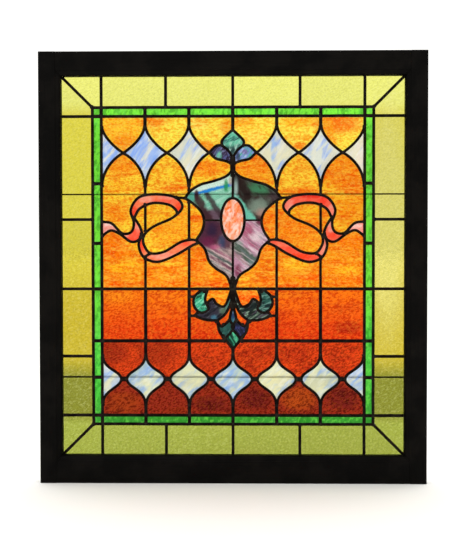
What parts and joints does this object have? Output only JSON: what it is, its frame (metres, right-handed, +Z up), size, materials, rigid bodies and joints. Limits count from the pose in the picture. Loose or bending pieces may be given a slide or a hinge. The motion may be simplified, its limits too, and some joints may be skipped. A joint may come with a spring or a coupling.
{
  "type": "stained glass window",
  "caption": "Wooden sash holding a leaded stained glass panel: yellow border, green fillet, amber to red field, shield, ribbons and ogee lozenges.",
  "frame": {"origin": "middle of the sash's underside, halfway through its thickness", "axes": "+Z up, +X to the right seen from the front, the front looks along -Y"},
  "size_m": [0.872, 0.036, 0.972],
  "materials": {
    "painted_wood": "worn near-black paint on softwood",
    "putty": "dull, hardened linseed putty",
    "bar_steel": "dull weathered steel",
    "lead": "dark lead with patina and solder at the joints",
    "yellow_cathedral_glass": "rolled texture, see-through",
    "green_glass": "hammered, bright green",
    "amber_opalescent_glass": "mottled, wispy",
    "orange_red_opalescent_glass": "mottled",
    "red_opalescent_glass": "mottled",
    "dark_red_opalescent_glass": "mottled",
    "blue_white_opalescent_glass": "white with blue wisps",
    "cream_white_opalescent_glass": "white with cream and blue wisps",
    "pink_opalescent_glass": "wispy",
    "coral_opalescent_glass": "wispy",
    "peach_mottled_glass": "granite texture, mottled",
    "mint_streaky_glass": "streaky",
    "brown_green_streaky_glass": "streaky",
    "plum_streaky_glass": "streaky",
    "rose_streaky_glass": "streaky",
    "lavender_streaky_glass": "streaky",
    "night_streaky_glass": "dark, streaky",
    "teal_streaky_glass": "streaky"
  },
  "bodies": {
    "root": {"sash_stile_left": "painted_wood", "sash_stile_right": "painted_wood", "sash_top_rail": "painted_wood", "sash_bottom_rail": "painted_wood", "glazing_putty": "putty", "saddle_bar_upper": "bar_steel", "saddle_bar_lower": "bar_steel", "lead_came_lattice": "lead", "border_glass": "yellow_cathedral_glass", "fillet_glass": "green_glass", "amber_top_row": "amber_opalescent_glass", "amber_arches_left": "amber_opalescent_glass", "amber_arches_right": "amber_opalescent_glass", "amber_loop_left": "amber_opalescent_glass", "amber_loop_right": "amber_opalescent_glass", "amber_low_left": "amber_opalescent_glass", "amber_low_right": "amber_opalescent_glass", "orange_row_left": "orange_red_opalescent_glass", "orange_row_right": "orange_red_opalescent_glass", "orange_triangle_left": "orange_red_opalescent_glass", "orange_triangle_right": "orange_red_opalescent_glass", "red_row": "red_opalescent_glass", "bottom_row": "dark_red_opalescent_glass", "diamond_1": "blue_white_opalescent_glass", "diamond_2": "blue_white_opalescent_glass", "diamond_3": "blue_white_opalescent_glass", "diamond_5": "blue_white_opalescent_glass", "diamond_6": "blue_white_opalescent_glass", "diamond_7": "blue_white_opalescent_glass", "onion_1": "cream_white_opalescent_glass", "onion_2": "cream_white_opalescent_glass", "onion_3": "cream_white_opalescent_glass", "onion_4": "cream_white_opalescent_glass", "onion_5": "cream_white_opalescent_glass", "onion_6": "cream_white_opalescent_glass", "onion_7": "cream_white_opalescent_glass", "ribbon_tail_left": "pink_opalescent_glass", "ribbon_tail_right": "pink_opalescent_glass", "ribbon_curl_left": "coral_opalescent_glass", "ribbon_curl_right": "coral_opalescent_glass", "ribbon_loop_left": "coral_opalescent_glass", "ribbon_loop_right": "coral_opalescent_glass", "ribbon_band_left": "coral_opalescent_glass", "ribbon_band_right": "coral_opalescent_glass", "shield_oval": "peach_mottled_glass", "shield_upper_left": "mint_streaky_glass", "shield_upper_right": "brown_green_streaky_glass", "shield_lower_left": "plum_streaky_glass", "shield_lower_right": "rose_streaky_glass", "fleur_top_leaf": "mint_streaky_glass", "fleur_leaf_left": "plum_streaky_glass", "fleur_leaf_right": "lavender_streaky_glass", "teardrop_stem": "night_streaky_glass", "base_diamond": "teal_streaky_glass", "ornament_curl_left": "teal_streaky_glass", "ornament_curl_right": "teal_streaky_glass", "ornament_leaf_left": "night_streaky_glass", "ornament_leaf_right": "night_streaky_glass", "ornament_lobe_left": "night_streaky_glass", "ornament_lobe_right": "night_streaky_glass"}
  },
  "joints": []
}
